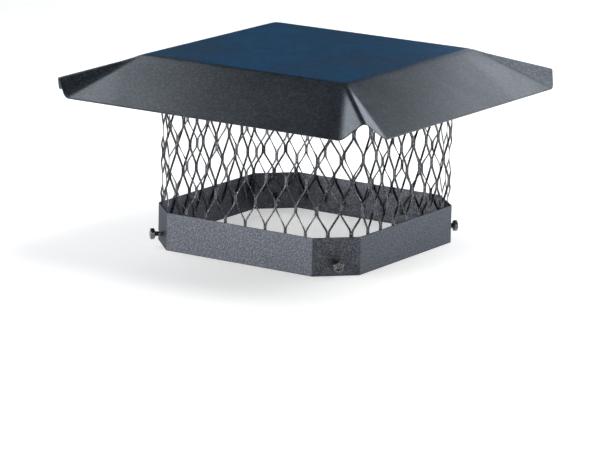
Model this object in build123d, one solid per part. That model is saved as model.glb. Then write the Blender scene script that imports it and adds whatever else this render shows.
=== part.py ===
from build123d import *
import math
import os

# Chimney cap for one square flue: a folded sheet lid over an expanded metal screen,
# on a bolt-on band with four set bolts. Millimetres, +Z up. The origin is the
# middle of the band's lower rim. -Y is the front, and every side is alike.

# Band: one strip of sheet, bent to a square with cut-off corners, its ends lapped at the back
band_width = 238.0
band_height = 38.0
band_sheet = 1.0
corner_leg = 33.4
band_bend = 1.0
seam_lap = 24.0
seam_aside = 40.0

# Set bolts, one in each cut-off corner, and the drawn collars they are tapped into
bolt_below_rim = 26.5
bolt_diameter = 5.5
bolt_length = 19.0
bolt_standoff = 7.7
bolt_point = 1.0
head_flats = 10.0
head_height = 4.4
head_crown_angle = 30.0
washer_height = 0.5
washer_inset = 0.4
thread_gap = 0.1
collar_wall = 1.6
collar_reach = 2.5

# Screen: one strip of expanded metal, bent inside the band and flanged under the lid.
# screen_depth is the strip's depth over its slanting strands.
screen_depth = 1.8
screen_gap = 0.1
screen_lap = 27.0
screen_bolt_gap = 2.0
flange_width = 14.0
opening_pitch = 23.4
opening_rise = 49.0
strand_width = 2.1
bond_length = 9.0
first_bond_aside = 6.1
first_bond_above = 1.2

# Lid: one sheet, with four sloping skirts and a raised pleat at each corner
cap_height = 193.0
lid_sheet = 0.8
lid_margin = 0.3
skirt_reach = 70.6
skirt_drop = 38.0
pleat_spread = 40.8
crest_radius = 8.0
valley_radius = 16.0

# Places that follow from those sizes
band_half = band_width / 2
band_inside = band_half - band_sheet
bolt_height = band_height - bolt_below_rim
hole_radius = bolt_diameter / 2 + thread_gap
collar_radius = hole_radius + collar_wall
screen_outside = band_inside - screen_gap
screen_middle = screen_outside - screen_depth / 2
screen_inside = screen_outside - screen_depth
screen_top = cap_height - lid_sheet
screen_bottom = band_height - screen_lap
lid_half = screen_outside + lid_margin
half_corner_turn = math.radians(22.5)


def corner_distance(half):
    """Distance from the axis to a corner's face, where the flats are at half."""
    return (2 * band_half - corner_leg) / math.sqrt(2) - (band_half - half)


def flat_half(half):
    """Half the length of a flat side, where the flats are at half."""
    return corner_distance(half) * math.sqrt(2) - half


def octagon(half):
    """The square with cut-off corners, as a face in the XY plane."""
    side = flat_half(half)
    points = []
    for turn in range(4):
        for x in (-side, side):
            point = Vector(x, -half).rotate(Axis.Z, 90 * turn)
            points.append((point.X, point.Y))
    return make_face(Polyline(*points, close=True))


def at_corner(turn, distance, height):
    """A place on a corner's own axis, with its Z pointing outwards."""
    return Pos(0, 0, height) * Rot(0, 0, 45 + 90 * turn) * Pos(distance, 0, 0) * Rot(0, 90, 0)


def make_band():
    """The bent strip, the lap of its ends, and a tapped collar in each corner."""
    outside = fillet(octagon(band_half).vertices(), band_bend + band_sheet)
    inside = fillet(octagon(band_inside).vertices(), band_bend)
    band = extrude(outside - inside, band_height)
    lap = Box(seam_lap, band_sheet, band_height, align=(Align.CENTER, Align.MIN, Align.MIN))
    band += Pos(seam_aside, band_half, 0) * lap
    for turn in range(4):
        face = at_corner(turn, corner_distance(band_inside), bolt_height)
        align = (Align.CENTER, Align.CENTER, Align.MAX)
        band += face * Cylinder(collar_radius, collar_reach, align=align)
        band -= face * Cylinder(hole_radius, 2 * (collar_reach + band_sheet))
    return band


def make_bolt(turn):
    """A hexagon set bolt, driven in from outside until its head stands clear."""
    shank = Cylinder(bolt_diameter / 2, bolt_length, align=(Align.CENTER, Align.CENTER, Align.MAX))
    shank = chamfer(shank.edges().sort_by(Axis.Z)[0], bolt_point)
    washer_radius = head_flats / 2 - washer_inset
    washer = Cylinder(washer_radius, washer_height, align=(Align.CENTER, Align.CENTER, Align.MIN))
    hexagon = RegularPolygon(head_flats / 2, 6, major_radius=False)
    head = extrude(Pos(0, 0, washer_height) * hexagon, head_height - washer_height)
    crown_spread = head_height / math.tan(math.radians(head_crown_angle))
    crown = Cone(
        head_flats / 2 + crown_spread,
        head_flats / 2,
        head_height,
        align=(Align.CENTER, Align.CENTER, Align.MIN),
    )
    seat = corner_distance(band_half) + bolt_standoff
    return at_corner(turn, seat, bolt_height) * (shank + washer + (head & crown))


def opening_outline(pitch):
    """Corners of one opening about its middle: a hexagon that stands on its tip."""
    half = pitch / 2
    slope = (opening_rise / 2 - bond_length) / half
    lift = strand_width / 2 * math.sqrt(1 + slope**2)
    tip = opening_rise / 2 - bond_length / 2 - lift
    wide = half - strand_width
    shoulder = bond_length / 2 + slope * strand_width - lift
    upper = [(wide, shoulder), (0, tip), (-wide, shoulder)]
    return upper + [(-x, -z) for x, z in upper]


def openings(pitch, middle, length, low, high):
    """Outlines of the openings that reach a panel, about its middle along the strip."""
    half = pitch / 2
    outline = opening_outline(pitch)
    first = math.floor((middle - length / 2 - first_bond_aside) / half)
    last = math.ceil((middle + length / 2 - first_bond_aside) / half)
    found = []
    for column in range(first, last + 1):
        across = first_bond_aside + column * half - middle
        # Every other column starts with a bond, and the next with an opening
        stagger = opening_rise / 2 if column % 2 == 0 else 0
        start = band_height + first_bond_above + stagger
        lowest = math.floor((low - start) / opening_rise)
        highest = math.ceil((high - start) / opening_rise)
        for row in range(lowest, highest + 1):
            up = start + row * opening_rise
            found.append([(across + x, up + z) for x, z in outline])
    return found


def clip(points, axis, limit, side, reach):
    """Keep the part on one side of a bend line, and run its cut level past the line by reach."""
    inside = [side * (point[axis] - limit) > 0 for point in points]
    if all(inside):
        return points
    kept = []
    for index, point in enumerate(points):
        before = points[index - 1]
        if inside[index] != inside[index - 1]:
            share = (limit - before[axis]) / (point[axis] - before[axis])
            level = before[1 - axis] + share * (point[1 - axis] - before[1 - axis])
            near = limit + side * reach
            past = limit - side * reach
            for stop in (past, near) if inside[index] else (near, past):
                kept.append((stop, level) if axis == 0 else (level, stop))
        if inside[index]:
            kept.append(point)
    return kept


def clip_all(outlines, axis, limit, side, reach):
    """Clip each outline, and leave out those that lie past the line."""
    clipped = [clip(outline, axis, limit, side, reach) for outline in outlines]
    return [outline for outline in clipped if outline]


def cut_through(plate, outlines, drop=0.0):
    """Cut outlines, lowered by drop, through a plate that stands in the XZ plane."""
    prisms = []
    for outline in outlines:
        points = [(x, 0, z - drop) for x, z in outline]
        prisms.append(extrude(make_face(Polyline(*points, close=True)), screen_depth, both=True))
    return plate.cut(*prisms)


def make_panel(half_outside, half_inside, low, outlines):
    """One upright panel of the screen, mitred at both ends, with its openings cut."""
    depth = screen_depth / 2
    plan = [(-half_outside, -depth), (half_outside, -depth), (half_inside, depth), (-half_inside, depth)]
    plate = Pos(0, 0, low) * extrude(make_face(Polyline(*plan, close=True)), screen_top - low)
    return cut_through(plate, outlines)


def make_flange(half, fold, outlines):
    """The top edge of a flat side, bent inwards under the lid, with its openings cut."""
    width = flange_width - screen_depth
    align = (Align.CENTER, Align.CENTER, Align.MIN)
    upright = Pos(0, 0, screen_depth / 2) * Box(2 * half, screen_depth, width, align=align)
    return Pos(0, 0, fold) * Rot(-90, 0, 0) * cut_through(upright, outlines, drop=fold)


def make_screen():
    """The strip of expanded metal: flat and corner panels, and a flange on each flat side."""
    flat = 2 * flat_half(screen_middle)
    corner = (screen_middle - flat_half(screen_middle)) * math.sqrt(2)
    round_length = 4 * (flat + corner)
    pitch = round_length / round(round_length / opening_pitch)
    half_depth = screen_depth / 2
    mitre = half_depth * math.tan(half_corner_turn)
    fold = screen_top - half_depth
    corner_bottom = bolt_height + collar_radius + screen_bolt_gap

    panels = []
    for turn in range(4):
        middle = turn * (flat + corner)
        outlines = openings(pitch, middle, flat, screen_bottom, fold + flange_width)
        for end in (-1, 1):
            outlines = clip_all(outlines, 0, end * flat / 2, -end, mitre)
        walls = clip_all(outlines, 1, fold, -1, half_depth)
        flanges = clip_all(outlines, 1, fold, 1, half_depth)
        wall = make_panel(flat_half(screen_outside), flat_half(screen_inside), screen_bottom, walls)
        flange = make_flange(flat_half(screen_inside), fold, flanges)
        place = Rot(0, 0, 90 * turn) * Pos(0, -screen_middle, 0)
        panels += [place * wall, place * flange]

        middle += (flat + corner) / 2
        outlines = openings(pitch, middle, corner, corner_bottom, screen_top)
        for end in (-1, 1):
            outlines = clip_all(outlines, 0, end * corner / 2, -end, mitre)
        wall = make_panel(corner / 2 + mitre, corner / 2 - mitre, corner_bottom, outlines)
        panels.append(Rot(0, 0, 90 * turn + 45) * Pos(0, -corner_distance(screen_middle), 0) * wall)
    screen = panels[0].fuse(*panels[1:])
    # Clippings that the shears leave loose along the edges fall away
    return max(screen.solids(), key=lambda solid: solid.volume)


def rounded(corner, before, after, radius):
    """The arc that rounds a corner of the lid's rim, as its start, middle and end."""
    way_in = (corner - before).normalized()
    way_out = (after - corner).normalized()
    half_turn = math.radians(way_in.get_angle(way_out)) / 2
    setback = radius * math.tan(half_turn)
    inward = (way_out - way_in).normalized()
    middle = corner + inward * (radius / math.cos(half_turn) - radius)
    return corner - way_in * setback, middle, corner + way_out * setback


def flat_panel(*corners):
    """A flat face of the lid between these corners."""
    return make_face(Polyline(*corners, close=True))


def bend_panel(tip, start, middle, end):
    """A cone shaped bend of the lid, from its tip to an arc of the rim."""
    rim = Wire([Edge.make_three_point_arc(start, middle, end), Edge.make_line(end, start)])
    wedge = Solid.make_loft([Vertex(*tip), rim], ruled=True)
    return [face for face in wedge.faces() if face.geom_type != GeomType.PLANE][0]


def make_lid():
    """The folded sheet: a flat top, sloping skirts, and a pleat that rises at each corner."""
    slant = math.hypot(skirt_reach, skirt_drop)
    # The blank's corners are cut straight across, and each pleat's crest ends mid-cut.
    # Folding stretches nothing, which settles how far the crest falls.
    crest = (slant + pleat_spread) / math.sqrt(2)
    level = (skirt_reach + pleat_spread) / math.sqrt(2)
    fall = math.atan2(skirt_drop, level) - math.acos(crest / math.hypot(level, skirt_drop))
    aside = crest * math.cos(fall) / math.sqrt(2)

    top = Vector(lid_half, -lid_half, cap_height)
    crest_end = top + Vector(aside, -aside, -crest * math.sin(fall))
    front_end = top + Vector(pleat_spread, -skirt_reach, -skirt_drop)
    right_end = top + Vector(skirt_reach, -pleat_spread, -skirt_drop)
    front_left = Vector(-front_end.X, front_end.Y, front_end.Z)
    right_back = Vector(right_end.X, -right_end.Y, right_end.Z)

    front = rounded(front_end, front_left, crest_end, valley_radius)
    ridge = rounded(crest_end, front_end, right_end, crest_radius)
    right = rounded(right_end, crest_end, right_back, valley_radius)
    skirt = [front[0], top]
    skirt += [Vector(-point.X, point.Y, point.Z) for point in reversed(skirt)]
    quarter = [
        flat_panel(*skirt),
        bend_panel(top, *front),
        flat_panel(top, front[2], ridge[0]),
        bend_panel(top, *ridge),
        flat_panel(top, ridge[2], right[0]),
        bend_panel(top, *right),
    ]
    panels = [Pos(0, 0, cap_height) * Rectangle(2 * lid_half, 2 * lid_half)]
    for turn in range(4):
        panels += [Rot(0, 0, 90 * turn) * panel for panel in quarter]
    plates = [extrude(panel, lid_sheet, dir=(0, 0, -1)) for panel in panels]
    return plates[0].fuse(*plates[1:])


os.makedirs("parts", exist_ok=True)
export_step(make_band(), "parts/band.step")
export_step(make_screen(), "parts/screen.step")
export_step(make_lid(), "parts/lid.step")
for number in range(4):
    export_step(make_bolt(number), f"parts/set_bolt_{number + 1}.step")
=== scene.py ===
"""Chimney cap: fine shapes and painted finishes over its modelled pieces.

Metres, +Z up, the front at -Y. Each new piece is a surface worked out with numpy, and it stands
where the modelled piece that it replaces stands.
"""

import logging
import math
from dataclasses import dataclass
from enum import Enum
from typing import Sequence

import bmesh
import bpy
import numpy as np
from mathutils import Matrix, Vector


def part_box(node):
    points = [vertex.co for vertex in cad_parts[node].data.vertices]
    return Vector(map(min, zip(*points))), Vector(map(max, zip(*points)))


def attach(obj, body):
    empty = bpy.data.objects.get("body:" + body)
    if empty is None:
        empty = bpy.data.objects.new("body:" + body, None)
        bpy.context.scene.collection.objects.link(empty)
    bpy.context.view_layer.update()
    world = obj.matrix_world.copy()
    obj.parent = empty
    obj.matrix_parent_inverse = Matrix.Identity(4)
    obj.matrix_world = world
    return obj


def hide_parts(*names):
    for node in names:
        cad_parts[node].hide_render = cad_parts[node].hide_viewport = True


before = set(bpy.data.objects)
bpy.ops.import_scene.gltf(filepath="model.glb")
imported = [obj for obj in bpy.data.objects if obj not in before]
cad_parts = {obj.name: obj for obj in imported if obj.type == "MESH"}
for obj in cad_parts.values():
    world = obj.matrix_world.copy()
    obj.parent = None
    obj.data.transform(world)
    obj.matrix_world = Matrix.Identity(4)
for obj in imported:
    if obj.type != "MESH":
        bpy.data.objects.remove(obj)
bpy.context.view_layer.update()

BODY = "root"
MM = 0.001
MERGE_DISTANCE = 1e-7

# Angles in plan, in degrees. The front's is counted from +X.
FRONT = -90.0
EIGHTH_TURN = 45.0

# A Mix node has sockets for each type of data. These are the numbers of those for colours.
MIX_FACTOR, MIX_FIRST, MIX_SECOND, MIX_RESULT = 0, 6, 7, 2

Triple = tuple[float, float, float]
log = logging.getLogger("chimney_cap")


class Slot(Enum):
    """The finishes that the part's record names."""

    LID = "lid_paint"
    SCREEN = "screen_paint"
    BAND = "band_paint"
    BOLT = "bolt_finish"


def unit(vectors: np.ndarray) -> np.ndarray:
    """Vectors scaled to a length of one along the last axis."""
    return vectors / np.linalg.norm(vectors, axis=-1, keepdims=True)


def four_sides(first: np.ndarray) -> np.ndarray:
    """Repeats places at all four sides, by turning them about the axis a quarter at a time.

    Args:
        first: Places at the front, as x and y.

    Returns:
        The places at the front, then those at the right, the back and the left.
    """
    quarter_turn = np.array([(0.0, 1.0), (-1.0, 0.0)])
    sides = [first]
    for _ in range(3):
        sides.append(sides[-1] @ quarter_turn)
    return np.concatenate(sides)


def tube_faces(rings: int, columns: int, start: int = 0) -> list[list[int]]:
    """Faces of a closed tube whose points are stored ring by ring.

    Args:
        rings: Number of rings of points.
        columns: Number of points in a ring.
        start: Number of the tube's first point.

    Returns:
        Corner numbers of each face: the quads of the wall, then a whole ring for each end.
    """
    ring, column = np.meshgrid(np.arange(rings - 1), np.arange(columns), indexing="ij")
    following = (column + 1) % columns
    corners = [
        ring * columns + column,
        ring * columns + following,
        (ring + 1) * columns + following,
        (ring + 1) * columns + column,
    ]
    wall = np.stack(corners, axis=-1).reshape(-1, 4) + start
    last = start + (rings - 1) * columns
    ends = [list(range(start + columns - 1, start - 1, -1)), list(range(last, last + columns))]
    return wall.tolist() + ends


def enclosed_volume(points: np.ndarray, faces: list[list[int]]) -> float:
    """Signed volume of a closed shell.

    Each face is cut into triangles that share its first corner. The origin and a triangle make a
    pyramid, whose volume is a sixth of the first corner times the cross product of the other two.

    Args:
        points: Places of the corners.
        faces: Corner numbers of each face.

    Returns:
        The volume, which is negative where the faces point inwards.
    """
    total = 0.0
    for count in sorted({len(face) for face in faces}):
        corners = points[np.array([face for face in faces if len(face) == count])]
        cross = np.cross(corners[:, 1:-1], corners[:, 2:])
        total += float(np.sum(corners[:, :1] * cross)) / 6
    return total


def add_piece(name: str, points: np.ndarray, faces: list[list[int]],
              material: bpy.types.Material, replaced: str) -> None:
    """Makes one finished piece of the cap out of closed shells.

    Args:
        name: The piece's name.
        points: Places of its corners, in the shared frame.
        faces: Corner numbers of each face. They are turned round if they point inwards.
        material: Its finish.
        replaced: Name of the modelled node that it stands for.
    """
    if enclosed_volume(points, faces) < 0:
        faces = [face[::-1] for face in faces]
    mesh = bpy.data.meshes.new(name)
    mesh.from_pydata(points.tolist(), [], faces)
    merged = bmesh.new()
    merged.from_mesh(mesh)
    bmesh.ops.remove_doubles(merged, verts=merged.verts, dist=MERGE_DISTANCE)
    merged.to_mesh(mesh)
    merged.free()
    mesh.update()
    mesh.polygons.foreach_set("use_smooth", np.ones(len(mesh.polygons), bool))
    mesh.materials.append(material)
    piece = bpy.data.objects.new(name, mesh)
    bpy.context.scene.collection.objects.link(piece)
    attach(piece, BODY)
    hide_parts(replaced)
    log.info("%s: %d faces", name, len(mesh.polygons))


class Graph:
    """Adds nodes to a material, a world or a node group, and links them."""

    def __init__(self, tree: bpy.types.NodeTree) -> None:
        """Keeps the tree that the nodes go into."""
        self.tree = tree

    def node(self, kind: str, values: dict | None = None, **options: object) -> bpy.types.Node:
        """Adds one node.

        Args:
            kind: Blender's name of the node type.
            values: A value for an input, or an output socket to link to it, by the input's name
                or number.
            options: Settings of the node itself.

        Returns:
            The new node.
        """
        made = self.tree.nodes.new(kind)
        for option, value in options.items():
            setattr(made, option, value)
        for socket, value in (values or {}).items():
            if isinstance(value, bpy.types.NodeSocket):
                self.tree.links.new(value, made.inputs[socket])
            else:
                made.inputs[socket].default_value = value
        return made

    def math(self, operation: str, first: object, second: object) -> bpy.types.NodeSocket:
        """The result of a Math node on two values or sockets."""
        return self.node("ShaderNodeMath", {0: first, 1: second}, operation=operation).outputs[0]

    def ramp(self, factor: bpy.types.NodeSocket, start: object,
             end: object) -> bpy.types.NodeSocket:
        """A smooth step.

        Args:
            factor: What the step depends on.
            start: Where the result is 0, as a value or a socket.
            end: Where it is 1, as a value or a socket.

        Returns:
            The socket of the result.
        """
        values = {"Value": factor, "From Min": start, "From Max": end}
        made = self.node("ShaderNodeMapRange", values, interpolation_type="SMOOTHSTEP")
        return made.outputs["Result"]

    def mix(self, factor: object, first: object, second: object) -> bpy.types.NodeSocket:
        """A colour between two colours or sockets."""
        values = {MIX_FACTOR: factor, MIX_FIRST: first, MIX_SECOND: second}
        return self.node("ShaderNodeMix", values, data_type="RGBA").outputs[MIX_RESULT]


def new_group(name: str, inputs: Sequence[tuple], outputs: Sequence[tuple],
              ) -> tuple[bpy.types.NodeTree, Graph, bpy.types.Node, bpy.types.Node]:
    """Starts a shader node group.

    Args:
        name: The group's name.
        inputs: Name, socket type and default value of each input.
        outputs: Name and socket type of each output.

    Returns:
        The group, its Graph, the node of its inputs and the node of its outputs.
    """
    group = bpy.data.node_groups.new(name, "ShaderNodeTree")
    for label, kind, default in inputs:
        socket = group.interface.new_socket(label, in_out="INPUT", socket_type=kind)
        if default is not None:
            socket.default_value = default
    for label, kind in outputs:
        group.interface.new_socket(label, in_out="OUTPUT", socket_type=kind)
    graph = Graph(group)
    return group, graph, graph.node("NodeGroupInput"), graph.node("NodeGroupOutput")


def paint_grain_group() -> bpy.types.NodeTree:
    """Fine texture of sprayed paint: pimples of one size on a slower orange peel.

    The height is a weighted sum of both. A fleck is where it stands above a level, which falls as
    the share of flecks grows.

    Returns:
        The group. Height is the relief from 0 to 1, and Fleck marks the tops of the pimples.
    """
    pimple_weight, peel_weight, peel_scale = 0.65, 0.35, 0.31
    even_share, even_level, level_fall, fleck_edge = 0.5, 0.47, 0.3, 0.07
    inputs = [
        ("Vector", "NodeSocketVector", None),
        ("Pimples per metre", "NodeSocketFloat", 700.0),
        ("Fleck share", "NodeSocketFloat", 0.4),
    ]
    outputs = [("Height", "NodeSocketFloat"), ("Fleck", "NodeSocketFloat")]
    group, graph, given, result = new_group("paint_grain", inputs, outputs)
    pimples = graph.node("ShaderNodeTexNoise", {
        "Vector": given.outputs["Vector"],
        "Scale": given.outputs["Pimples per metre"],
        "Detail": 3.0,
        "Roughness": 0.65,
    }).outputs["Fac"]
    peel = graph.node("ShaderNodeTexNoise", {
        "Vector": given.outputs["Vector"],
        "Scale": graph.math("MULTIPLY", given.outputs["Pimples per metre"], peel_scale),
        "Detail": 1.0,
    }).outputs["Fac"]
    height = graph.math("ADD", graph.math("MULTIPLY", pimples, pimple_weight),
                        graph.math("MULTIPLY", peel, peel_weight))
    missing = graph.math("SUBTRACT", even_share, given.outputs["Fleck share"])
    level = graph.math("ADD", graph.math("MULTIPLY", missing, level_fall), even_level)
    fleck = graph.ramp(height, level, graph.math("ADD", level, fleck_edge))
    graph.tree.links.new(height, result.inputs["Height"])
    graph.tree.links.new(fleck, result.inputs["Fleck"])
    return group


def handling_group() -> bpy.types.NodeTree:
    """Broad uneven patches of gloss, as handling and spraying leave them.

    Returns:
        The group. Patch runs from 0 to 1.
    """
    patch_start, patch_end = 0.32, 0.68
    inputs = [("Vector", "NodeSocketVector", None), ("Patches per metre", "NodeSocketFloat", 14.0)]
    group, graph, given, result = new_group("handling", inputs, [("Patch", "NodeSocketFloat")])
    noise = graph.node("ShaderNodeTexNoise", {
        "Vector": given.outputs["Vector"],
        "Scale": given.outputs["Patches per metre"],
        "Detail": 3.0,
        "Roughness": 0.55,
        "Distortion": 0.6,
    }).outputs["Fac"]
    graph.tree.links.new(graph.ramp(noise, patch_start, patch_end), result.inputs["Patch"])
    return group


@dataclass(frozen=True)
class PaintFinish:
    """Satin black paint with a fine grain over sheet metal.

    dark and light are the colours between the flecks and on them, smooth and rough the ends of the
    uneven gloss, and relief the height of the grain.
    """

    name: str
    dark: Triple
    light: Triple
    pimples: float
    smooth: float = 0.34
    rough: float = 0.42
    dark_metallic: float = 0.2
    light_metallic: float = 0.6
    specular: float = 0.7
    edge_tint: Triple = (1.0, 1.0, 1.0)
    fleck_share: float = 0.42
    relief: float = 0.08 * MM

    def build(self, grain: bpy.types.NodeTree, handling: bpy.types.NodeTree) -> bpy.types.Material:
        """The finish as a material.

        Args:
            grain: The paint grain group.
            handling: The handling group.

        Returns:
            The new material.
        """
        material = bpy.data.materials.new(self.name)
        material.use_nodes = True
        material.node_tree.nodes.clear()
        graph = Graph(material.node_tree)
        place = graph.node("ShaderNodeTexCoord").outputs["Object"]
        fine = graph.node("ShaderNodeGroup", node_tree=grain)
        fine.inputs["Pimples per metre"].default_value = self.pimples
        fine.inputs["Fleck share"].default_value = self.fleck_share
        broad = graph.node("ShaderNodeGroup", node_tree=handling)
        for group_node in (fine, broad):
            graph.tree.links.new(place, group_node.inputs["Vector"])
        fleck = fine.outputs["Fleck"]
        roughness = graph.math("MULTIPLY", broad.outputs["Patch"], self.rough - self.smooth)
        metallic = graph.math("MULTIPLY", fleck, self.light_metallic - self.dark_metallic)
        bump = graph.node("ShaderNodeBump", {
            "Height": fine.outputs["Height"],
            "Strength": 1.0,
            "Distance": self.relief,
        })
        shader = graph.node("ShaderNodeBsdfPrincipled", {
            "Base Color": graph.mix(fleck, (*self.dark, 1.0), (*self.light, 1.0)),
            "Roughness": graph.math("ADD", roughness, self.smooth),
            "Metallic": graph.math("ADD", metallic, self.dark_metallic),
            "Specular IOR Level": self.specular,
            "Specular Tint": (*self.edge_tint, 1.0),
            "Normal": bump.outputs["Normal"],
        })
        graph.node("ShaderNodeOutputMaterial", {"Surface": shader.outputs["BSDF"]})
        return material


@dataclass(frozen=True)
class Band:
    """The band, a square strip with cut-off corners. It is the modelled piece itself, painted.

    half is half its width over the flats, and corner_leg is how far a corner is cut off each side.
    """

    half: float = 119 * MM
    corner_leg: float = 33.4 * MM

    @property
    def corner_distance(self) -> float:
        """Distance from the axis to the middle of a cut-off corner's face."""
        return (2 * self.half - self.corner_leg) / math.sqrt(2)

    def paint(self, material: bpy.types.Material) -> None:
        """Gives the modelled band its finish.

        Args:
            material: The finish.
        """
        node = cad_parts["band"]
        node.data.materials.clear()
        node.data.materials.append(material)
        log.info("band: painted")


@dataclass(frozen=True)
class OctagonLoop:
    """The square with cut-off corners that the screen follows, unrolled from mid-front.

    half is half the width over the flats, and corner_distance is the distance from the axis to the
    middle of a cut-off corner's face, both at the middle of the strip. bend is the bends' radius.
    """

    half: float
    corner_distance: float
    bend: float = 3 * MM

    @property
    def flat(self) -> float:
        """Length of a flat side."""
        return 2 * (self.corner_distance * math.sqrt(2) - self.half)

    @property
    def corner(self) -> float:
        """Length of a cut-off corner's face."""
        return (2 * self.half - self.flat) / math.sqrt(2)

    @property
    def quarter(self) -> float:
        """Length of a flat side and one corner."""
        return self.flat + self.corner

    def follow(self, along: np.ndarray) -> tuple[np.ndarray, np.ndarray]:
        """Places along the loop.

        Near a corner the place runs on an arc of radius bend, whose middle lies on the corner's
        bisector, and elsewhere on the straight side.

        Args:
            along: Distances from the middle of the front, increasing towards +X.

        Returns:
            The places as x and y, and the outward directions as x and y.
        """
        length = 4 * self.quarter
        sides = self.flat / 2 + self.quarter * np.arange(4)
        starts = (sides[:, None] + [0.0, self.corner]).ravel()
        bisectors = np.radians(FRONT + EIGHTH_TURN * (np.arange(8) + 0.5))
        offset = (along[..., None] - starts + length / 2) % length - length / 2
        nearest = np.argmin(np.abs(offset), axis=-1)
        past = np.take_along_axis(offset, nearest[..., None], axis=-1)[..., 0]
        bisector = bisectors[nearest]
        half_turn = math.radians(EIGHTH_TURN / 2)
        reach = self.bend * math.tan(half_turn)
        heading = bisector + np.clip(past / reach, -1, 1) * half_turn
        outward = np.stack([np.cos(heading), np.sin(heading)], axis=-1)
        travel = np.stack([-np.sin(heading), np.cos(heading)], axis=-1)
        middle = np.stack([np.cos(bisector), np.sin(bisector)], axis=-1)
        corners = four_sides(np.array([(self.flat / 2, -self.half), (self.half, -self.flat / 2)]))
        pivot = corners[nearest] - middle * self.bend / math.cos(half_turn)
        straight = past - np.clip(past, -reach, reach)
        place = pivot + outward * self.bend + travel * straight[..., None]
        return place, outward


@dataclass(frozen=True)
class ExpandedScreen:
    """The strip of expanded metal: zigzag strands that lean, side by side and joined at bonds.

    Each strand runs between two neighbouring columns of bonds. At a bond it lies against the
    strand of the next column, edge to edge, and both lean the same way. The strip is worked out
    unrolled, where u runs round, v up and w outwards, and then rolled up.
    """

    band: Band
    outside: float
    top: float
    bottom: float
    band_height: float
    corner_bottom: float = 17.95 * MM
    flange_width: float = 14 * MM
    flange_bend: float = 2 * MM
    opening_pitch: float = 23.4 * MM
    opening_rise: float = 49 * MM
    bond_length: float = 9 * MM
    first_bond_aside: float = 6.1 * MM
    first_bond_above: float = 1.2 * MM
    strand_width: float = 2.1 * MM
    strand_sheet: float = 0.75 * MM
    strand_edge: float = 0.18 * MM
    bond_overlap: float = 0.12 * MM
    bond_lean: float = math.radians(14)
    strand_lean: float = math.radians(48)
    softness: float = 0.11
    rings: int = 96

    @property
    def depth(self) -> float:
        """How far the leaning strands reach to each side of the strip's middle.

        Returns:
            The larger of the reach at a bond, where two strands lie edge to edge, and the reach
            of one strand midway between bonds, where it leans the most.
        """
        width = self.strand_width - self.bond_overlap
        at_bond = width * math.sin(self.bond_lean) + self.strand_sheet / 2
        lean = self.strand_lean
        between = (self.strand_width * math.sin(lean) + self.strand_sheet * math.cos(lean)) / 2
        return max(at_bond, between)

    @property
    def bend_start(self) -> float:
        """Height of the strip's middle where its top edge starts to fold inwards."""
        return self.top - self.depth - self.flange_bend

    @property
    def loop(self) -> OctagonLoop:
        """The strip's middle, in plan."""
        half = self.outside - self.depth
        return OctagonLoop(half, self.band.corner_distance - (self.band.half - half))

    def sway(self, phase: np.ndarray) -> np.ndarray:
        """How far a strand has crossed from its left bond to its right one, from 0 to 1.

        Over a rise it stays at 0 along a bond, runs to 1 in a straight line and stays there along
        the next bond. The line's ends are rounded by averaging it over a short stretch.

        Args:
            phase: Height above a left bond, as a share of the rise.

        Returns:
            The shares crossed.
        """
        bond = self.bond_length / self.opening_rise / 2
        away = np.abs((phase + 0.5) % 1 - 0.5)
        share = (away - bond) / (0.5 - 2 * bond)

        def area(end: np.ndarray) -> np.ndarray:
            """Area up to end under a line that runs from 0 to 1 and stays there."""
            return np.clip(end, 0, 1) ** 2 / 2 + np.maximum(end - 1, 0)

        soft = self.softness
        return (area(share + soft) - area(share - soft)) / (2 * soft)

    def extent(self, left: np.ndarray, gap: float) -> tuple[np.ndarray, np.ndarray, np.ndarray]:
        """Where the strands start and end.

        At a flat they start at the strip's foot and end at the flange's edge. At a cut-off corner
        they start above the bolt's collar and end at the top, with no flange.

        Args:
            left: Each strand's left column of bonds, as a distance round the strip.
            gap: Distance between two columns.

        Returns:
            The starts, the ends, and whether each strand has the flange's fold.
        """
        loop = self.loop
        middle = left + gap / 2
        from_side = np.abs((middle + loop.quarter / 2) % loop.quarter - loop.quarter / 2)
        clearance = gap / 4
        flanged = from_side < loop.flat / 2 - clearance
        low = np.where(from_side < loop.flat / 2, self.bottom, self.corner_bottom)
        fold = self.flange_bend * math.pi / 2
        inward = self.flange_width - self.depth - self.flange_bend
        high = np.where(flanged, self.bend_start + fold + inward, self.top)
        return low, high, flanged

    def middle_lines(self, left: np.ndarray, gap: float, low: np.ndarray,
                     high: np.ndarray) -> tuple[np.ndarray, np.ndarray]:
        """Middle line and lean of each strand.

        A strand crosses its column as sway says, from the strip's outside at a left bond to its
        inside at a right one. Its lean is least at the bonds and greatest midway.

        Args:
            left: Each strand's left column of bonds, as a distance round the strip.
            gap: Distance between two columns.
            low: Where each strand starts.
            high: Where each strand ends.

        Returns:
            Places as u, v and w, and angles.
        """
        v = low[:, None] + (high - low)[:, None] * np.linspace(0, 1, self.rings)
        stagger = np.arange(len(left)) % 2 * self.opening_rise / 2
        first = self.band_height + self.first_bond_above + stagger
        crossed = self.sway((v - first[:, None]) / self.opening_rise)
        aside = self.strand_width / 2 - self.bond_overlap
        near = aside * math.cos(self.bond_lean)
        u = left[:, None] + near + (gap - 2 * near) * crossed
        w = aside * math.sin(self.bond_lean) * (1 - 2 * crossed)
        lean = self.bond_lean + (self.strand_lean - self.bond_lean) * np.sin(math.pi * crossed)
        return np.stack([u, v, w], axis=-1), lean

    def section(self) -> np.ndarray:
        """A strand's cross section, a rectangle with broken edges.

        Returns:
            Its corners, as distances across the strand and through its sheet.
        """
        width, sheet, edge = self.strand_width / 2, self.strand_sheet / 2, self.strand_edge
        upper = [
            (width, sheet - edge),
            (width - edge, sheet),
            (edge - width, sheet),
            (-width, sheet - edge),
        ]
        lower = [(across, -through) for across, through in reversed(upper)]
        return np.array(upper + lower)

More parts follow.
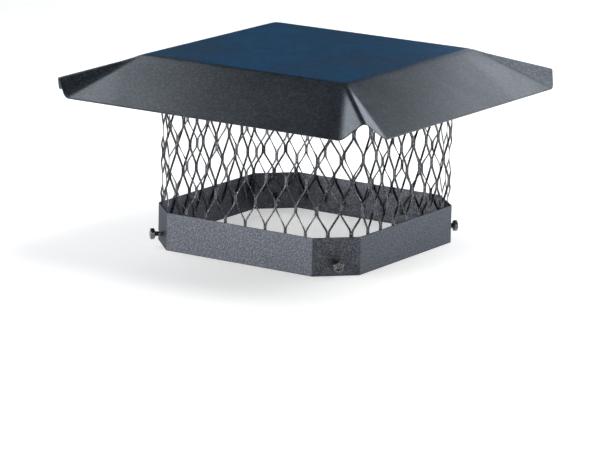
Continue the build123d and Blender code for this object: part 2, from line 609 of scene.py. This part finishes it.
    def sweep(self, lines: np.ndarray, lean: np.ndarray) -> np.ndarray:
        """Carries the cross section along the strands, turned about each line by its lean.

        Args:
            lines: The strands' middle lines, as u, v and w.
            lean: The strands' leans.

        Returns:
            Places as u, v and w: for each strand, its rings of points.
        """
        tangent = unit(np.gradient(lines, axis=1))
        level = unit(np.stack([tangent[..., 1], -tangent[..., 0], np.zeros_like(lean)], axis=-1))
        face = np.cross(level, tangent)
        cosine, sine = np.cos(lean)[..., None], np.sin(lean)[..., None]
        across = level * cosine + face * sine
        through = face * cosine - level * sine
        section = self.section()
        return (lines[:, :, None, :]
                + across[:, :, None, :] * section[:, 0, None]
                + through[:, :, None, :] * section[:, 1, None])

    def roll_up(self, points: np.ndarray, flanged: np.ndarray) -> np.ndarray:
        """Rolls the unrolled strip round the cap and folds its top edge inwards.

        Past bend_start a flanged strand follows a quarter circle and then runs level, inwards.

        Args:
            points: Places as u, v and w.
            flanged: Whether each strand has the flange's fold.

        Returns:
            Places as x, y and z.
        """
        u, v, w = points[..., 0], points[..., 1], points[..., 2]
        place, outward = self.loop.follow(u)
        past = np.where(flanged, v - self.bend_start, 0.0)
        turn = np.clip(past / self.flange_bend, 0, math.pi / 2)
        level = np.maximum(past - self.flange_bend * math.pi / 2, 0)
        inset = self.flange_bend * (1 - np.cos(turn)) + level
        height = np.where(past > 0, self.bend_start + self.flange_bend * np.sin(turn), v)
        plan = place + outward * (w * np.cos(turn) - inset)[..., None]
        return np.concatenate([plan, (height + w * np.sin(turn))[..., None]], axis=-1)

    def build(self, material: bpy.types.Material) -> None:
        """Makes the screen, with two columns of bonds for each opening round the loop.

        Args:
            material: Its finish.
        """
        length = 4 * self.loop.quarter
        count = 2 * round(length / self.opening_pitch)
        gap = length / count
        left = self.first_bond_aside + np.arange(count) * gap
        low, high, flanged = self.extent(left, gap)
        lines, lean = self.middle_lines(left, gap, low, high)
        points = self.roll_up(self.sweep(lines, lean), flanged[:, None, None])
        sides = points.shape[2]
        faces: list[list[int]] = []
        for number in range(count):
            faces += tube_faces(self.rings, sides, number * self.rings * sides)
        add_piece("screen_strands", points.reshape(-1, 3), faces, material, "screen")


@dataclass(frozen=True)
class PleatedLid:
    """The folded sheet: a flat top, sloping skirts and a raised pleat at each corner.

    It is made of points along lines from the top's square to the rim: the insets are distances
    inside the top's edge, the steps distances past it, and the shares parts of a line's length.
    """

    top_height: float
    top_half: float = 118.2 * MM
    sheet: float = 0.8 * MM
    skirt_reach: float = 70.6 * MM
    skirt_drop: float = 38 * MM
    pleat_spread: float = 40.8 * MM
    crest_radius: float = 20 * MM
    valley_radius: float = 16 * MM
    top_bend: float = 3.6 * MM
    tip_bend: float = 3.8 * MM
    rim_edge: float = 0.22 * MM
    rim_border: float = 1.5 * MM
    insets_mm: tuple[float, ...] = (14, 9, 6.5, 4.5, 3, 2, 1, 0)
    steps_mm: tuple[float, ...] = (0.7, 1.4, 2.2, 3.2, 4.5, 6.5, 9)
    shares: tuple[float, ...] = (0.2, 0.3, 0.4, 0.5, 0.6, 0.7, 0.8, 0.9)
    side_lines: int = 41
    skirt_lines: int = 14
    gusset_lines: int = 12
    bend_lines: int = 11

    @property
    def top(self) -> np.ndarray:
        """The top's front right corner, in plan."""
        return np.array([self.top_half, -self.top_half])

    @property
    def crest_end(self) -> tuple[float, float]:
        """How far the crest's end lies outside the top's corner, along X or Y, and below it.

        The blank's corners are cut straight across, and each crest ends mid-cut. Folding
        stretches nothing, which settles how far the crest falls.

        Returns:
            The distance outside and the distance below.
        """
        slant = math.hypot(self.skirt_reach, self.skirt_drop)
        crest = (slant + self.pleat_spread) / math.sqrt(2)
        level = (self.skirt_reach + self.pleat_spread) / math.sqrt(2)
        straight = math.hypot(level, self.skirt_drop)
        fall = math.atan2(self.skirt_drop, level) - math.acos(crest / straight)
        return crest * math.cos(fall) / math.sqrt(2), crest * math.sin(fall)

    @property
    def rim_corners(self) -> tuple[np.ndarray, np.ndarray, np.ndarray]:
        """The rim's sharp corners at the front right pleat, in plan.

        Returns:
            The ends of the front valley, the crest and the right valley.
        """
        aside = self.crest_end[0]
        front = self.top + [self.pleat_spread, -self.skirt_reach]
        right = self.top + [self.skirt_reach, -self.pleat_spread]
        return front, self.top + [aside, -aside], right

    def height(self, plan: np.ndarray) -> np.ndarray:
        """Height of the upper face, with every fold rounded.

        Outside the top's square, far is the larger of the two distances past its sides and near
        the smaller. A skirt falls in proportion to far. A gusset is the plane through the top's
        corner, the skirt's end and the crest's end, so it falls with far and rises with near. The
        higher of the two is the sheet. Where two planes change over, a parabola joins them over
        the width of the bend, which grows with the distance from the top's corner.

        Args:
            plan: Places as x and y.

        Returns:
            The heights.
        """
        front, crest, right = self.rim_corners
        aside, sunk = self.crest_end
        corner = np.array([(self.pleat_spread, self.skirt_reach), (aside, aside)])
        rise, fall = np.linalg.solve(corner, [-self.skirt_drop, -sunk])
        slope = self.skirt_drop / self.skirt_reach

        past = np.abs(plan) - self.top_half
        away = np.linalg.norm(np.maximum(past, 0), axis=-1)
        crest_growth = self.bend_growth(front, crest, right, self.crest_radius)
        valley_growth = self.bend_growth(front * [-1, 1], front, crest, self.valley_radius)
        crest_bend = self.tip_bend + away * crest_growth
        valley_bend = self.tip_bend + away * valley_growth
        apart = np.abs(past[..., 0] - past[..., 1])
        far = past.max(axis=-1) + self.joint(apart, crest_bend * math.sqrt(2))
        near = past.sum(axis=-1) - far
        skirt = far * slope
        gusset = -(rise * near + fall * far)
        steepness = math.hypot(rise, fall + slope)
        valley = self.joint(np.abs(skirt - gusset), valley_bend * steepness)
        fallen = np.minimum(skirt, gusset) - valley
        drop = np.maximum(0.0, fallen) + self.joint(np.abs(fallen), self.top_bend * slope)
        return self.top_height - drop

    def joint(self, apart: np.ndarray, reach: np.ndarray | float) -> np.ndarray:
        """How far a parabola that joins two planes stands off their sharp fold.

        Args:
            apart: How far the two planes lie apart.
            reach: How far apart they lie where the parabola meets them.

        Returns:
            The distances, 0 outside the bend.
        """
        return np.maximum(0.0, reach - apart) ** 2 / (4 * reach)

    def bend_growth(self, before: np.ndarray, corner: np.ndarray, after: np.ndarray,
                    radius: float) -> float:
        """How fast half of a bend's width grows with the distance from the top's corner.

        At the rim it is the radius times the sine of half the turn, as the rim's own arc has it.

        Args:
            before: The rim's corner before.
            corner: The corner where the fold ends.
            after: The rim's corner after.
            radius: The radius of the rim's arc.

        Returns:
            The growth for each metre.
        """
        turn = math.acos(float(unit(corner - before) @ unit(after - corner)))
        half = radius * math.sin(turn / 2) - self.tip_bend
        return half / float(np.linalg.norm(corner - self.top))

    def rim_arc(self, before: np.ndarray, corner: np.ndarray, after: np.ndarray,
                radius: float) -> np.ndarray:
        """Points on the arc that rounds a corner of the rim, in plan.

        The arc's middle lies on the bisector at radius over the cosine of half the turn, and the
        arc sweeps the whole turn about it.

        Args:
            before: The rim's corner before.
            corner: The corner that is rounded.
            after: The rim's corner after.
            radius: The arc's radius.

        Returns:
            The points, from the way in to the way out.
        """
        way_in, way_out = unit(corner - before), unit(after - corner)
        half_turn = math.acos(float(way_in @ way_out)) / 2
        inward, along = unit(way_out - way_in), unit(way_in + way_out)
        middle = corner + inward * radius / math.cos(half_turn)
        angle = np.linspace(-half_turn, half_turn, self.bend_lines)[:, None]
        return middle + radius * (along * np.sin(angle) - inward * np.cos(angle))

    def between(self, start: np.ndarray, end: np.ndarray, count: int) -> np.ndarray:
        """Evenly spaced points between two others, without them."""
        share = np.linspace(0, 1, count + 2)[1:-1, None]
        return start + (end - start) * share

    def rulings(self) -> tuple[np.ndarray, np.ndarray]:
        """Lines in plan from the top's square to the rim, once round.

        Returns:
            The lines' starts and ends. All lines of one pleat start at the top's corner.
        """
        top = self.top
        front, crest, right = self.rim_corners
        valley = self.rim_arc(front * [-1, 1], front, crest, self.valley_radius)
        ridge = self.rim_arc(front, crest, right, self.crest_radius)
        other = self.rim_arc(crest, right, right * [1, -1], self.valley_radius)
        first = top * [-1, 1] + [0, -self.skirt_reach]
        second = top + [0, -self.skirt_reach]
        third = top + [self.skirt_reach, 0]
        side = np.linspace(0, 1, self.side_lines)[:, None]
        fan = np.concatenate([
            self.between(second, valley[0], self.skirt_lines),
            valley,
            self.between(valley[-1], ridge[0], self.gusset_lines),
            ridge,
            self.between(ridge[-1], other[0], self.gusset_lines),
            other,
            self.between(other[-1], third, self.skirt_lines),
        ])
        starts = np.concatenate([top * [-1, 1] + (top - top * [-1, 1]) * side,
                                 np.repeat(top[None, :], len(fan), axis=0)])
        ends = np.concatenate([first + (second - first) * side, fan])
        return four_sides(starts), four_sides(ends)

    def build(self, material: bpy.types.Material) -> None:
        """Makes the lid.

        Rings of points run round it in plan: squares inside the top, then steps along the lines to
        the rim, each lifted to the sheet's height. The lower face is the upper one lowered by the
        sheet, and two rings break the rim's edges.

        Args:
            material: Its finish.
        """
        starts, ends = self.rulings()
        reach = np.linalg.norm(ends - starts, axis=1)[:, None]
        ahead = (ends - starts) / reach
        insets, steps = np.array(self.insets_mm) * MM, np.array(self.steps_mm) * MM
        plan = np.array(
            [starts * (self.top_half - inset) / self.top_half for inset in insets]
            + [starts + ahead * step for step in steps]
            + [starts + ahead * reach * share for share in self.shares]
            + [starts + ahead * (reach - border) for border in (self.rim_border, self.rim_edge)])
        upper = np.concatenate([plan, self.height(plan)[..., None]], axis=-1)
        rim = np.concatenate([ends, self.height(ends)[:, None]], axis=-1)
        down = np.array([0.0, 0.0, -1.0])
        edges = np.array([rim + down * self.rim_edge, rim + down * (self.sheet - self.rim_edge)])
        shell = np.concatenate([upper, edges, upper[::-1] + down * self.sheet])
        faces = tube_faces(*shell.shape[:2])
        add_piece("lid_sheet", shell.reshape(-1, 3), faces, material, "lid")


@dataclass(frozen=True)
class SetBolt:
    """One hexagon set bolt, driven into a cut-off corner: head, washer face and threaded shank.

    crown_slope is the slope of the cone that cuts the head's corners, and crown_softness rounds
    where it meets the hexagon. corner_wear is the share that is worn off the hexagon's corners,
    and dish gives the rings of the hollow in the head's top: a share of half the flats, and a
    depth. flank is how steep the thread is, where 1 would leave no flat root.
    """

    band: Band
    number: int
    stand_off: float = 7.7 * MM
    height: float = 11.5 * MM
    head_flats: float = 10 * MM
    head_height: float = 4.4 * MM
    washer_height: float = 0.5 * MM
    washer_inset: float = 0.4 * MM
    edge: float = 0.25 * MM
    corner_wear: float = 0.06
    crown_slope: float = math.tan(math.radians(30))
    crown_softness: float = 0.12 * MM
    crown_start: float = 0.6 * MM
    crown_rings: int = 9
    top_inset: float = 0.225 * MM
    dish: tuple[tuple[float, float], ...] = (
        (0.72, 0.0), (0.62, 0.12 * MM), (0.5, 0.35 * MM), (0.06, 0.42 * MM))
    thread_radius: float = 2.75 * MM
    thread_depth: float = 0.5 * MM
    thread_pitch: float = 1.0 * MM
    thread_end: float = 0.2 * MM
    flank: float = 1.25
    rings_per_pitch: int = 7
    length: float = 19 * MM
    point: float = 1.0 * MM
    columns: int = 48

    def head_rings(self, angle: np.ndarray) -> list[tuple[np.ndarray, float]]:
        """Radius and height of each ring of the head, from under it to the middle of its top.

        The hexagon's radius is half the flats over the cosine of the angle from the nearest flat.
        The crown is a cone that cuts the hexagon's corners. Near the top the lesser of the two
        holds, a little softened.

        Args:
            angle: Angles round the bolt.

        Returns:
            Pairs of the radii round a ring, as an array, and its height.
        """
        half = self.head_flats / 2
        even = np.ones_like(angle)
        from_flat = (angle + math.pi / 6) % (math.pi / 3) - math.pi / 6
        sharp = half / np.cos(from_flat)
        hexagon = sharp - self.corner_wear * (sharp - half)
        washer = even * (half - self.washer_inset)
        rings = [
            (even * (self.thread_radius - self.thread_depth), 0.0),
            (washer - self.edge, 0.0),
            (washer, self.edge / 2),
            (washer, self.washer_height - self.edge / 4),
            (hexagon - self.edge, self.washer_height),
            (hexagon, self.washer_height + self.edge),
        ]
        crown_low, crown_high = self.washer_height + self.crown_start, self.head_height - self.edge
        for height in np.linspace(crown_low, crown_high, self.crown_rings):
            crown = half + (self.head_height - height) / self.crown_slope
            apart = np.sqrt((hexagon - crown) ** 2 + self.crown_softness**2)
            rings.append(((hexagon + crown - apart) / 2, height))
        rings.append((even * (half - self.top_inset), self.head_height))
        rings += [(even * half * share, self.head_height - depth) for share, depth in self.dish]
        return rings

    def thread_rings(self, angle: np.ndarray) -> list[tuple[np.ndarray, float]]:
        """Radius and height of each ring of the shank, from its point up to the head.

        The radius follows a triangle wave of the height less the angle's share of the pitch, so
        the ridges climb by one pitch each turn. A cone of 45 degrees cuts them at the point.

        Args:
            angle: Angles round the bolt.

        Returns:
            Pairs of the radii round a ring, as an array, and its height.
        """
        count = int(self.length / self.thread_pitch * self.rings_per_pitch)
        rings = []
        for height in np.linspace(-self.length, -self.thread_end, count):
            phase = (height / self.thread_pitch - angle / (2 * math.pi)) % 1
            groove = np.clip(self.flank * np.abs(2 * phase - 1), 0, 1)
            cone = self.thread_radius - self.point + (height + self.length)
            thread = self.thread_radius - self.thread_depth * groove
            rings.append((np.minimum(thread, cone), height))
        return rings

    def build(self, material: bpy.types.Material) -> None:
        """Makes the bolt out of rings about its axis, which is level and points out of its corner.

        Args:
            material: Its finish.
        """
        angle = np.linspace(0, 2 * math.pi, self.columns, endpoint=False)
        rings = self.thread_rings(angle) + self.head_rings(angle)
        radii = np.array([radius for radius, _ in rings])
        heights = np.array([height for _, height in rings])
        turn = math.radians(EIGHTH_TURN * (2 * self.number - 1))
        outward = np.array([math.cos(turn), math.sin(turn), 0.0])
        level = np.array([-math.sin(turn), math.cos(turn), 0.0])
        up = np.array([0.0, 0.0, 1.0])
        seat = outward * (self.band.corner_distance + self.stand_off) + up * self.height
        round_axis = level * np.cos(angle)[:, None] + up * np.sin(angle)[:, None]
        points = seat + outward * heights[:, None, None] + round_axis * radii[..., None]
        faces = tube_faces(*radii.shape)
        node = f"set_bolt_{self.number}"
        add_piece(f"{node}_threaded", points.reshape(-1, 3), faces, material, node)


@dataclass(frozen=True)
class SoftLight:
    """A rectangular soft light, turned towards its aim."""

    name: str
    place: Triple
    aim: Triple
    width: float
    height: float
    brightness: float

    def build(self) -> None:
        """Adds the light. Its power is its brightness times pi times its area."""
        data = bpy.data.lights.new(self.name, "AREA")
        data.shape = "RECTANGLE"
        data.size, data.size_y = self.width, self.height
        data.energy = self.brightness * math.pi * self.width * self.height
        lamp = bpy.data.objects.new(self.name, data)
        lamp.visible_camera = False
        lamp.location = self.place
        ahead = Vector(self.aim) - Vector(self.place)
        lamp.rotation_euler = ahead.to_track_quat("-Z", "Y").to_euler()
        bpy.context.scene.collection.objects.link(lamp)


CAP_MIDDLE = (0.0, 0.0, 0.12)
LIGHTS = (
    SoftLight("overhead_back", place=(1.4, 2.0, 3.8), aim=(-0.6, 1.2, 0.0),
              width=3.4, height=3.0, brightness=4.1),
    SoftLight("upper_left", place=(-0.92, 0.1, 0.72), aim=CAP_MIDDLE,
              width=0.7, height=0.62, brightness=1.5),
    SoftLight("upper_left_low", place=(-0.98, 0.02, 0.66), aim=CAP_MIDDLE,
              width=0.6, height=0.5, brightness=0.8),
    SoftLight("upper_left_near", place=(-0.55, 0.0, 0.6), aim=(-0.17, -0.15, 0.18),
              width=0.26, height=0.2, brightness=3.3),
    SoftLight("front_left", place=(-0.98, -1.5, 0.32), aim=(0.0, 0.0, 0.05),
              width=1.7, height=0.6, brightness=10.4),
    SoftLight("back_near", place=(0.12, 0.5, 0.38), aim=(0.16, 0.17, 0.17),
              width=0.18, height=0.12, brightness=3.1),
    SoftLight("back_low", place=(-0.07, 0.84, 0.38), aim=(0.14, -0.1, 0.17),
              width=0.36, height=0.2, brightness=2.5),
    SoftLight("back_right", place=(0.85, 1.35, 0.29), aim=(0.1, 0.0, 0.05),
              width=1.2, height=0.54, brightness=9.4),
)


@dataclass(frozen=True)
class Studio:
    """The pale floor, the dim room, the soft lights and the camera.

    A span holds for a direction's Z, Y or X: where a share of the room's colour is 0, then where it
    is 1. The camera turns about Z, looks down by its fall and rolls about its own axis. Its focal
    length is written in pixels of a picture that is image_width wide.
    """

    floor_half: float = 9.0
    floor_gap: float = 0.2 * MM
    floor_colour: Triple = (0.83, 0.83, 0.83)
    floor_glow: float = 0.49
    dim: Triple = (0.015, 0.016, 0.018)
    dim_low: Triple = (0.065, 0.068, 0.073)
    blue: Triple = (0.026, 0.25, 0.57)
    low_span: tuple[float, float] = (0.5, 0.12)
    behind_span: tuple[float, float] = (-0.1, 0.55)
    left_span: tuple[float, float] = (-0.1, -0.4)
    camera_place: Triple = (1.89102, -2.93724, 0.84378)
    camera_turn: float = math.radians(32.857)
    camera_fall: float = math.radians(13.329)
    camera_roll: float = math.radians(1.295)
    focal_pixels: float = 3591.3
    image_width: float = 600.0
    sensor: float = 36.0
    nearest: float = 0.05
    farthest: float = 60.0

    def build(self) -> None:
        """Adds everything that isn't part of the cap."""
        self.add_floor()
        self.add_room()
        for light in LIGHTS:
            light.build()
        self.add_camera()
        bpy.context.scene.view_settings.view_transform = "Standard"

    def add_floor(self) -> None:
        """Adds the level floor that the cap stands on.

        The camera sees its glow, also mirrored and through glass, and it lights nothing else.
        """
        half = self.floor_half
        corners = [(-half, -half, 0), (half, -half, 0), (half, half, 0), (-half, half, 0)]
        mesh = bpy.data.meshes.new("floor")
        mesh.from_pydata(corners, [], [(0, 1, 2, 3)])
        material = bpy.data.materials.new("pale_floor")
        material.use_nodes = True
        material.node_tree.nodes.clear()
        graph = Graph(material.node_tree)
        ray = graph.node("ShaderNodeLightPath").outputs
        seen = graph.math("MAXIMUM", ray["Is Camera Ray"], ray["Is Glossy Ray"])
        seen = graph.math("MAXIMUM", seen, ray["Is Transmission Ray"])
        lit = graph.node("ShaderNodeBsdfPrincipled", {
            "Base Color": (*self.floor_colour, 1.0),
            "Roughness": 0.8,
            "Emission Color": (1.0, 1.0, 1.0, 1.0),
            "Emission Strength": graph.math("MULTIPLY", seen, self.floor_glow),
        })
        graph.node("ShaderNodeOutputMaterial", {"Surface": lit.outputs["BSDF"]})
        mesh.materials.append(material)
        floor = bpy.data.objects.new("floor", mesh)
        floor.location.z = -self.floor_gap
        bpy.context.scene.collection.objects.link(floor)

    def add_room(self) -> None:
        """Adds the dim room, a little lighter low down and blue there behind and to the left."""
        world = bpy.data.worlds.new("studio_room")
        world.use_nodes = True
        world.node_tree.nodes.clear()
        bpy.context.scene.world = world
        graph = Graph(world.node_tree)
        direction = graph.node("ShaderNodeTexCoord").outputs["Generated"]
        parts = graph.node("ShaderNodeSeparateXYZ", {"Vector": direction}).outputs
        low = graph.ramp(parts["Z"], *self.low_span)
        behind = graph.ramp(parts["Y"], *self.behind_span)
        left = graph.ramp(parts["X"], *self.left_span)
        share = graph.math("MULTIPLY", graph.math("MULTIPLY", low, behind), left)
        neutral = graph.mix(low, (*self.dim, 1.0), (*self.dim_low, 1.0))
        colour = graph.mix(share, neutral, (*self.blue, 1.0))
        back = graph.node("ShaderNodeBackground", {"Color": colour, "Strength": 1.0})
        graph.node("ShaderNodeOutputWorld", {"Surface": back.outputs["Background"]})

    def add_camera(self) -> None:
        """Adds the camera at the photograph's viewing angle."""
        turn, fall, roll = self.camera_turn, self.camera_fall, self.camera_roll
        level = Vector((-math.sin(turn), math.cos(turn), 0.0))
        ahead = level * math.cos(fall) - Vector((0.0, 0.0, math.sin(fall)))
        right = Vector((math.cos(turn), math.sin(turn), 0.0))
        up = right.cross(ahead)
        rolled_right = right * math.cos(roll) + up * math.sin(roll)
        rolled_up = up * math.cos(roll) - right * math.sin(roll)
        data = bpy.data.cameras.new("camera")
        data.sensor_width = self.sensor
        data.lens = self.focal_pixels / self.image_width * self.sensor
        data.clip_start, data.clip_end = self.nearest, self.farthest
        camera = bpy.data.objects.new("camera", data)
        axes = Matrix((rolled_right, rolled_up, -ahead)).transposed()
        camera.matrix_world = Matrix.Translation(self.camera_place) @ axes.to_4x4()
        bpy.context.scene.collection.objects.link(camera)
        bpy.context.scene.camera = camera


def make_finishes() -> dict[Slot, bpy.types.Material]:
    """Makes the four paints, which share the grain group and the handling group.

    Returns:
        The material of each finish.
    """
    grain, handling = paint_grain_group(), handling_group()
    paints = {
        Slot.LID: PaintFinish(
            "lid_paint", dark=(0.004, 0.006, 0.009), light=(0.058, 0.073, 0.093),
            pimples=1050.0, edge_tint=(0.8, 0.9, 1.0), relief=0.1 * MM),
        Slot.SCREEN: PaintFinish(
            "screen_paint", dark=(0.01, 0.011, 0.013), light=(0.17, 0.18, 0.2),
            pimples=1400.0, smooth=0.26, rough=0.36, dark_metallic=0.5, light_metallic=0.95),
        Slot.BAND: PaintFinish(
            "band_paint", dark=(0.062, 0.067, 0.079), light=(0.158, 0.166, 0.19),
            pimples=1900.0, smooth=0.38, rough=0.45, dark_metallic=0.7, light_metallic=0.9,
            specular=0.5, edge_tint=(0.3, 0.33, 0.36)),
        Slot.BOLT: PaintFinish(
            "bolt_black", dark=(0.05, 0.05, 0.053), light=(0.3, 0.3, 0.32),
            pimples=2500.0, smooth=0.2, rough=0.28, dark_metallic=0.8, light_metallic=1.0),
    }
    return {slot: paint.build(grain, handling) for slot, paint in paints.items()}


def main() -> None:
    logging.basicConfig(level=logging.INFO, format="%(message)s")
    finishes = make_finishes()
    screen_low, screen_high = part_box("screen")
    band_top, lid_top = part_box("band")[1].z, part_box("lid")[1].z
    band = Band()
    band.paint(finishes[Slot.BAND])
    ExpandedScreen(band, outside=screen_high.x, top=screen_high.z, bottom=screen_low.z,
                   band_height=band_top).build(finishes[Slot.SCREEN])
    PleatedLid(top_height=lid_top).build(finishes[Slot.LID])
    for number in range(1, 5):
        SetBolt(band, number).build(finishes[Slot.BOLT])
    Studio().build()


if __name__ == "__main__":
    main()
